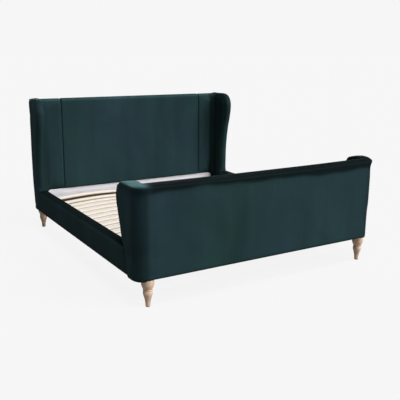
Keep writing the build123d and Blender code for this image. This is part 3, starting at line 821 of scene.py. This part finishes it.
def front_half(foot, levels):
    """Half of the footboard's front with the section of its top, open at the bed's middle."""
    inner_face = foot.face + foot.thick
    shell = block("footboard_velvet", (0, foot.face, foot.low), (foot.arc_x, inner_face, foot.top))
    slice_at(shell, 2, levels)
    crown = (foot.top, foot.thick * CROWN_SHARES[0], foot.thick * CROWN_SHARES[1])
    for z, out, back in (*LIP_SHARES, crown):
        for y, step in ((foot.face, out), (inner_face, -back)):
            shift(shell, lambda co, y=y, z=z: near(co.z, z) and near(co.y, y, SAME_FINE), (0, step, 0))
    change(shell, "FACE", lambda at, way: near(at.x, 0), bpy.ops.mesh.delete, type="FACE")
    return shell


def half_footboard(foot, sizes):
    """The right half of the shell: front, rounded corner, and side with its curved rear edge."""
    levels = [z for _, z in RETURN_SHARES if z < RETURN_ROWS_TOP] + [z for z, _, _ in LIP_SHARES]
    shell, corner = front_half(foot, levels), (foot.arc_x, foot.arc_y, 0)
    pick(shell, "FACE", lambda at, way: near(at.x, foot.arc_x))
    bpy.ops.mesh.spin(steps=8, angle=-pi / 2, center=corner, axis=(0, 0, 1))
    bpy.ops.mesh.extrude_region_move(TRANSFORM_OT_translate={"value": (0, SIDE_START, 0)})
    mode("OBJECT")
    end_y, rail_top = foot.arc_y + SIDE_START, rail_box[1].z

    def rim_y(z):
        reach = read_off(((RETURN_LOW_REACH, foot.low),) + RETURN_SHARES, z)
        return foot.face + reach + RIM_LIFT * sizes.fill * ease(z, rail_top, rail_top + RIM_LIFT_HIGH)

    def rim(a, b):
        at_rim = all(near(co.y, rim_y(co.z), SAME_FINE) and RIM_FROM < co.z < RIM_TO for co in (a, b))
        return at_rim and abs(a.z - b.z) > RIM_SHORTEST and a.x + b.x > 2 * INNER_X

    for z in [foot.low] + levels + [foot.top]:
        shift(shell, lambda co, z=z: near(co.z, z) and near(co.y, end_y), (0, rim_y(z) - end_y, 0))
    round_edges(shell, rim, radius=0.012, segments=SMALL_STEPS)
    return shell


def weave_footboard(shell, foot):
    """Cut the shell into cells of cloth."""
    lengthwise = along(1, SIDE_SHORTEST)

    def side(a, b):
        first, last = min(a.y, b.y) - foot.arc_y, max(a.y, b.y) - foot.arc_y
        return lengthwise(a, b) and first > SIDE_FROM and last > SIDE_PAST

    weave(shell, (0, 0.3, 56))
    divide(shell, side, cuts=7)
    weave(shell, (2, 0.1, 9), (2, 0.04, 3))


def thin_return(shell, foot):
    """Move the return's inner face outwards, more and more towards its rear edge."""
    for point in shell.data.vertices:
        co, reach = point.co, point.co.y - foot.face
        on_face = THIN_SIDES[0] < co.x - INNER_X < THIN_SIDES[1] and co.z > rail_box[1].z + THIN_FOOT
        if on_face and reach > TAPER_SHARES[0][1]:
            co.x += read_off(TAPER_SHARES, reach)


# the returns begin over this span around the corner's middle, and the top's form over these heights
RETURN_SPAN, FORM_SPAN = (-0.06, 0.03), (0.66, 0.78)
# this share of the dip is lost towards the footboard's ends, over this span from the bed's middle
SAG_LOSS, SAG_SPAN = 0.55, (0.3, 0.95)
# the sides fill out over this width, and the hem hangs lower over this height and across the corner
SIDE_FILL_WIDE, HEM_HIGH, HEM_CORNER = 0.06, 0.06, (-0.03, 0.03)


def form_footboard(shell, foot, sizes):
    """Fill the sides out, hang the hem lower at the corners, dip the top and raise the returns."""
    for point in shell.data.vertices:
        co = point.co
        at_return = ease(co.y - foot.arc_y, *RETURN_SPAN)
        sag = sizes.sag * (1 - SAG_LOSS * ease(abs(co.x), *SAG_SPAN))
        co.x += copysign(sizes.fill * ease(abs(co.x) - foot.outer, -SIDE_FILL_WIDE, 0), co.x)
        drop = ease(co.z - foot.low, HEM_HIGH, 0) * ease(abs(co.x) - foot.arc_x, *HEM_CORNER)
        co.z -= sizes.corner_drop * drop
        co.z += ease(co.z, *FORM_SPAN) * (sizes.corner_rise * at_return - sag * (1 - at_return))


# painted light and shade: a painted shade band under the top that fades to the left, a painted highlight on
# the top's left end, and painted shade on the returns' inner faces and the rounded corners
FOOT_PAINTED_LIGHT = (
    (-1.45, {"band": (-0.012, 0.02)}),
    (1.16, {"band": (-0.012, 0.02), "left": (0.86, 0.94)}),
    (2.8, {"left": (0.85, 0.94), "height": (0.768, 0.786)}),
    (-1.1, {"inside": (0.02, 0.005), "behind": (0.01, 0.03)}),
    (-0.5, {"turn_x": (-0.015, 0.02), "turn_y": (0.02, -0.03), "height": (0.77, 0.74)}),
)
# the painted shade band's lower edge: its height, its waves as (height, radians per metre, start) and its
# slant
BAND_Z, BAND_WAVES, BAND_SLANT, SLANT_SPAN = 0.722, ((0.006, 9, 0), (0.004, 23, 1)), 0.018, (0.4, -0.4)


def foot_measures(foot):
    """A rule that tells how far a place stands from the footboard's named places."""
    def measure(co):
        x, reach = abs(co.x), co.y - foot.face
        waves = sum(high * sin(turns * co.x + start) for high, turns, start in BAND_WAVES)
        band_z = BAND_Z + waves + BAND_SLANT * ease(co.x, *SLANT_SPAN)
        return {"band": co.z - band_z, "left": -co.x, "height": co.z, "behind": reach - foot.thick,
                "inside": x - INNER_X - read_off(TAPER_SHARES, reach),
                "turn_x": x - foot.arc_x, "turn_y": co.y - foot.arc_y}
    return measure


class BED_OT_footboard(bpy.types.Operator):
    """Upholster the footboard and its two returns in one shell"""
    bl_idname = "bed.footboard"
    bl_label = "Footboard upholstery"

    def execute(self, context):
        sizes, velvet = context.scene.bed_sizes, velvet_material(context.scene.bed_colours)
        foot = foot_places(sizes)
        shell = half_footboard(foot, sizes)
        weave_footboard(shell, foot)
        thin_return(shell, foot)
        apply_modifier(shell, "MIRROR", use_clip=True, merge_threshold=0.0005)
        mend_normals(shell)
        stapled_y = foot.face + foot.thick - STAPLE
        pull_over_foam(shell, sizes, lambda co: co.z < foot.low + STAPLE
                       or (co.z < INNER_STAPLE_TOP and co.y > stapled_y))
        form_footboard(shell, foot, sizes)
        paint_light_and_shade(shell, FOOT_PAINTED_LIGHT, foot_measures(foot))
        dress(shell, velvet, "velvet", FOOT_NODE, fill=0.9)
        return {"FINISHED"}


# painted shade: a little all over the rails, more at their top edges, and more towards the headboard
RAIL_PAINTED_SHADE = ((-0.15, {}), (-1.3, {"top": (-0.012, -0.003)}), (-0.35, {"along": (-0.7, 0.9)}))
# edges longer than this run from end to end
RAIL_LONG = 1


class BED_OT_side_rails(bpy.types.Operator):
    """Cover the two side rails"""
    bl_idname = "bed.side_rails"
    bl_label = "Side rail covers"

    def execute(self, context):
        sizes, velvet = context.scene.bed_sizes, velvet_material(context.scene.bed_colours)
        low, high = rail_box
        low = low - Vector((0, 0, sizes.hem))
        slant = RETURN_SHARES[0][0] - RETURN_LOW_REACH

        def front_y(z):
            return low.y + slant * (z - low.z) / (high.z - low.z)

        rail = block("side_rail_velvet_right", low, high)
        shift(rail, lambda co: near(co.z, high.z) and near(co.y, low.y), (0, slant, 0))
        round_edges(rail, lambda a, b: near(a.z, high.z) and near(b.z, high.z) and abs(a.y - b.y) > RAIL_LONG,
                    radius=0.009, segments=4)
        weave(rail, (1, 1.0, 90), (2, 0.1, 8), (0, 0.03, 3))
        pull_over_foam(rail, sizes, lambda co: co.z < low.z + STAPLE or co.y > high.y - STAPLE
                       or co.y < front_y(co.z) + STAPLE, cap=0.004)
        paint_light_and_shade(rail, RAIL_PAINTED_SHADE, lambda co: {"top": co.z - high.z, "along": co.y})
        left = twin(rail, "side_rail_velvet_left")
        rail.name = "side_rail_velvet_right"
        dress(rail, velvet, "velvet", "side_rail_cover_right", fill=0.9)
        dress(left, velvet, "velvet", "side_rail_cover_left", fill=0.9)
        return {"FINISHED"}


def fit_lining(sizes, colours):
    """Fit the white strip below the pads, higher between the wings than under their coves."""
    low, high = lining_box
    ear_x = INNER_X - sizes.cove
    lining = block("lining_strip", low, (high.x, high.y, LINING_EAR))
    slice_at(lining, 0, [-ear_x, ear_x])
    extrude(lining, lambda at, way: way.z > AXIS_SHARE and abs(at.x) < ear_x, (0, 0, high.z - LINING_EAR))
    round_where(lining, radius=0.003, segments=SMALL_STEPS, y=low.y)
    weave(lining, (0, 1.0, 80), (2, 0.05, 5))
    pull_over_foam(lining, sizes, lambda co: co.y > high.y - LINING_STAPLE or co.z < low.z + LINING_STAPLE
                   or co.z > high.z - LINING_STAPLE, cap=0.003)
    dress(lining, lining_material(colours), "lining", "headboard_lining", fill=0.4)


def fit_back(sizes):
    """Fit the plain cloth on the headboard's back."""
    low, high = panel_box
    back = block("back_cloth_panel", low, high)
    round_where(back, radius=0.005, segments=SMALL_STEPS, y=high.y)
    weave(back, (0, 1.0, 60), (2, 0.5, 32))
    pull_over_foam(back, sizes, lambda co: co.y < high.y - STAPLE, cap=0.002)
    dress(back, backing_material(), "back_cloth", "headboard_back_panel", fill=0.2)


class BED_OT_lining_and_back(bpy.types.Operator):
    """Fit the white lining below the headboard's pads and the plain cloth on its back"""
    bl_idname = "bed.lining_and_back"
    bl_label = "Lining and back cloth"

    def execute(self, context):
        sizes, colours = context.scene.bed_sizes, context.scene.bed_colours
        fit_lining(sizes, colours)
        fit_back(sizes)
        return {"FINISHED"}


# places of the slat nearest the headboard and of the even row's first one, and the row's pitch and count
SLAT_HEAD, SLAT_FIRST, SLAT_PITCH, SLAT_COUNT = foot_box[0].y + 1.953, foot_box[0].y + 1.773, 0.115, 15
SLAT_WIDE, SLAT_THICK, SLAT_STEPS = 0.065, 0.012, 24
# edges that run across the bed are longer than this
SLAT_EDGE = 0.01


def slat_pattern(low, high):
    """One slat across half of the bed, bowed in an arc between these heights."""
    wide, rise = high.x - low.x, high.z - low.z - SLAT_THICK
    slat = block("slat_pattern", (low.x, 0, low.z), (high.x, SLAT_WIDE, low.z + SLAT_THICK))
    slice_at(slat, 0, [low.x + wide * k / SLAT_STEPS for k in range(1, SLAT_STEPS)])
    middle, half = (low.x + high.x) / 2, wide / 2
    radius = (half * half + rise * rise) / (2 * rise)
    for point in slat.data.vertices:
        point.co.z += (radius ** 2 - (point.co.x - middle) ** 2) ** 0.5 - (radius - rise)
    round_edges(slat, lambda a, b: abs(a.x - b.x) > SLAT_EDGE, radius=0.0025, segments=2)
    return slat


class BED_OT_slats(bpy.types.Operator):
    """Lay the bowed slats, modelled once and copied"""
    bl_idname = "bed.slats"
    bl_label = "Slats"

    def execute(self, context):
        birch = wood_material("slat_birch", context.scene.bed_colours.slat, grain=(3, 70, 220), shade=0.9,
                              rough=0.38)
        slat = slat_pattern(*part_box("slats_right"))
        places = [SLAT_HEAD] + [SLAT_FIRST - SLAT_PITCH * k for k in range(SLAT_COUNT)]
        right = join([copy_of(slat, "slat", (0, y, 0)) for y in places])
        take_away(slat)
        right.name = "slat_set_right"
        left = twin(right, "slat_set_left")
        for piece, node in ((right, "slats_right"), (left, "slats_left")):
            activate(piece)
            bpy.ops.object.shade_smooth_by_angle(angle=radians(40))
            dress(piece, birch, "slat_wood", node)
        return {"FINISHED"}


# the leg's turned profile: radius against height
LEG_SHARES = (
    (0.0155, 0.003), (0.0162, 0.015), (0.017, 0.030), (0.0195, 0.045), (0.022, 0.056), (0.0255, 0.068),
    (0.0293, 0.080), (0.0313, 0.092), (0.0308, 0.102), (0.0283, 0.107), (0.0300, 0.109), (0.0305, 0.112),
    (0.0300, 0.115), (0.0285, 0.117), (0.0305, 0.121), (0.0345, 0.129), (0.0385, 0.139), (0.0410, 0.148),
    (0.0410, 0.182),
)
LEG_NODES = ("leg_foot_left", "leg_foot_right", "leg_head_left", "leg_head_right")


def leg_pattern():
    """One leg turned on the vertical axis, from a disc at its foot upwards."""
    deselect()
    radius, height = LEG_SHARES[0]
    bpy.ops.mesh.primitive_circle_add(vertices=ROUND_STEPS, radius=radius, fill_type="NGON",
                                      location=(0, 0, height))
    leg = bpy.context.object
    settle_place(leg)
    mode("EDIT")
    bpy.ops.mesh.select_all(action="SELECT")
    for wider, higher in LEG_SHARES[1:]:
        bpy.ops.mesh.extrude_region_move(TRANSFORM_OT_translate={"value": (0, 0, higher - height)})
        bpy.ops.transform.resize(value=(wider / radius, wider / radius, 1), center_override=(0, 0, higher))
        radius, height = wider, higher
    mode("OBJECT")
    mend_normals(leg)
    bpy.ops.object.shade_smooth_by_angle(angle=radians(38))
    return leg


class BED_OT_legs(bpy.types.Operator):
    """Turn the four wooden legs, modelled once and copied"""
    bl_idname = "bed.legs"
    bl_label = "Turned legs"

    def execute(self, context):
        beech = wood_material("leg_beech", context.scene.bed_colours.leg, grain=(45, 45, 6), shade=0.78,
                              rough=0.5)
        leg = leg_pattern()
        for node in LEG_NODES:
            low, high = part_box(node)
            copy = copy_of(leg, "turned_" + node, ((low.x + high.x) / 2, (low.y + high.y) / 2, 0))
            dress(copy, beech, "leg_wood", node)
        take_away(leg)
        return {"FINISHED"}


# finishes of the frame's metal and plastic: slot, name, colour, metal share, roughness, scratches per metre
HARD_FINISHES = (
    ("zinc_steel", "bright_zinc", (0.62, 0.62, 0.6), 1.0, 0.35, 300),
    ("painted_steel", "black_powder_coat", (0.03, 0.03, 0.032), 0.0, 0.5, 500),
    ("plastic", "black_plastic", (0.035, 0.035, 0.037), 0.0, 0.45, 700),
)


class BED_OT_hard_finishes(bpy.types.Operator):
    """Give the timber, steel and plastic pieces of the frame their finishes"""
    bl_idname = "bed.hard_finishes"
    bl_label = "Frame finishes"

    def execute(self, context):
        finishes = {slot: hard_material(*looks) for slot, *looks in HARD_FINISHES}
        # the timber's near-black tone is partly its own dark tone and partly painted shade, for the dark gap
        # seen under the slats
        finishes["frame_timber"] = wood_material("dark_timber_and_painted_shade", colour=(0.07, 0.04, 0.027), grain=(5, 50, 50),
                                                 shade=0.8, rough=0.7)
        for part in frame["record"]["subparts"]:
            finish = finishes.get(part["material_slot"])
            if finish is not None:
                target = frame["nodes"][part["node"]]
                target.data.materials.clear()
                target.data.materials.append(finish)
        return {"FINISHED"}


# the white air around: its own light on the bed, and how bright the camera sees it
ROOM_LIGHT, ROOM_SEEN = 0.05, 0.92
# the lamps: name, the way the light goes, power and spread in degrees
STUDIO_LIGHTS = (
    ("overhead_light", (0.05, 0.25, -1), 2.6, 26),
    ("front_light", (-1.1, 1, -0.85), 2.6, 30),
    ("back_light", (-0.45, -1, -0.16), 1.2, 26),
)


def lay_floor(colours):
    """The studio floor."""
    deselect()
    bpy.ops.mesh.primitive_plane_add(size=400, location=(0, 0, 0))
    floor = bpy.context.object
    floor.name = "studio_floor"
    settle_place(floor)
    floor.data.materials.append(floor_material(colours))


def fill_room(scene):
    """White air that lights the bed less than the camera sees it shine."""
    world = bpy.data.worlds.new("studio_air")
    scene.world = world
    world.use_nodes = True
    tree = world.node_tree
    room = tree.nodes["Background"]
    plug(tree, room, {"Color": (1, 1, 1, 1), "Strength": ROOM_LIGHT})
    seen = make(tree, "Background", {"Color": (1, 1, 1, 1), "Strength": ROOM_SEEN})
    seen_or_cast(tree, room.outputs["Background"], seen.outputs["Background"], tree.nodes["World Output"])


def hang_lights():
    """The studio's lamps."""
    for name, way, power, spread in STUDIO_LIGHTS:
        deselect()
        bpy.ops.object.light_add(type="SUN", location=(0, 0, 5))
        lamp = bpy.context.object
        lamp.name = name
        lamp.data.energy = power
        lamp.data.angle = radians(spread)
        lamp.rotation_mode = "QUATERNION"
        lamp.rotation_quaternion = Vector(way).to_track_quat("-Z", "Y")


def set_camera(scene, view):
    """The camera where the photograph was taken from."""
    deselect()
    bpy.ops.object.camera_add(location=view.place)
    camera = bpy.context.object
    camera.name = "photo_camera"
    camera.data.lens = view.lens
    camera.data.sensor_width = 36
    camera.data.clip_end = 1000
    ahead = Vector((sin(view.yaw) * cos(view.pitch), cos(view.yaw) * cos(view.pitch), -sin(view.pitch)))
    camera.rotation_mode = "QUATERNION"
    camera.rotation_quaternion = ahead.to_track_quat("-Z", "Y") @ Quaternion((0, 0, 1), view.roll)
    scene.camera = camera


class BED_OT_stage(bpy.types.Operator):
    """Set the floor, the lights and the camera at the photograph's angle"""
    bl_idname = "bed.stage"
    bl_label = "Studio"

    def execute(self, context):
        scene = context.scene
        lay_floor(scene.bed_colours)
        fill_room(scene)
        hang_lights()
        set_camera(scene, scene.bed_view)
        scene.view_settings.view_transform = "Standard"
        return {"FINISHED"}


class BED_PT_panel(bpy.types.Panel):
    """The bed's pieces and sizes in the sidebar"""
    bl_idname = "BED_PT_panel"
    bl_label = "Wingback bed"
    bl_space_type = "VIEW_3D"
    bl_region_type = "UI"
    bl_category = "Wingback bed"

    def draw(self, context):
        scene = context.scene
        for title, group in (("Upholstery", scene.bed_sizes), ("Colours", scene.bed_colours),
                             ("Camera", scene.bed_view)):
            box = self.layout.box()
            box.label(text=title)
            for key in group.__annotations__:
                box.prop(group, key)
        for operator in OPERATORS:
            self.layout.operator(operator.bl_idname)


OPERATORS = (
    BED_OT_headboard, BED_OT_footboard, BED_OT_side_rails, BED_OT_lining_and_back, BED_OT_slats, BED_OT_legs,
    BED_OT_hard_finishes, BED_OT_stage,
)
CLASSES = (UpholsterySizes, FinishColours, StudioView, *OPERATORS, BED_PT_panel)


def register():
    for entry in CLASSES:
        bpy.utils.register_class(entry)
    bpy.types.Scene.bed_sizes = bpy.props.PointerProperty(type=UpholsterySizes)
    bpy.types.Scene.bed_colours = bpy.props.PointerProperty(type=FinishColours)
    bpy.types.Scene.bed_view = bpy.props.PointerProperty(type=StudioView)


def unregister():
    del bpy.types.Scene.bed_view
    del bpy.types.Scene.bed_colours
    del bpy.types.Scene.bed_sizes
    for entry in reversed(CLASSES):
        bpy.utils.unregister_class(entry)


def main():
    register()
    bpy.ops.bed.headboard()
    bpy.ops.bed.footboard()
    bpy.ops.bed.side_rails()
    bpy.ops.bed.lining_and_back()
    bpy.ops.bed.slats()
    bpy.ops.bed.legs()
    bpy.ops.bed.hard_finishes()
    bpy.ops.bed.stage()


if __name__ == "__main__":
    main()
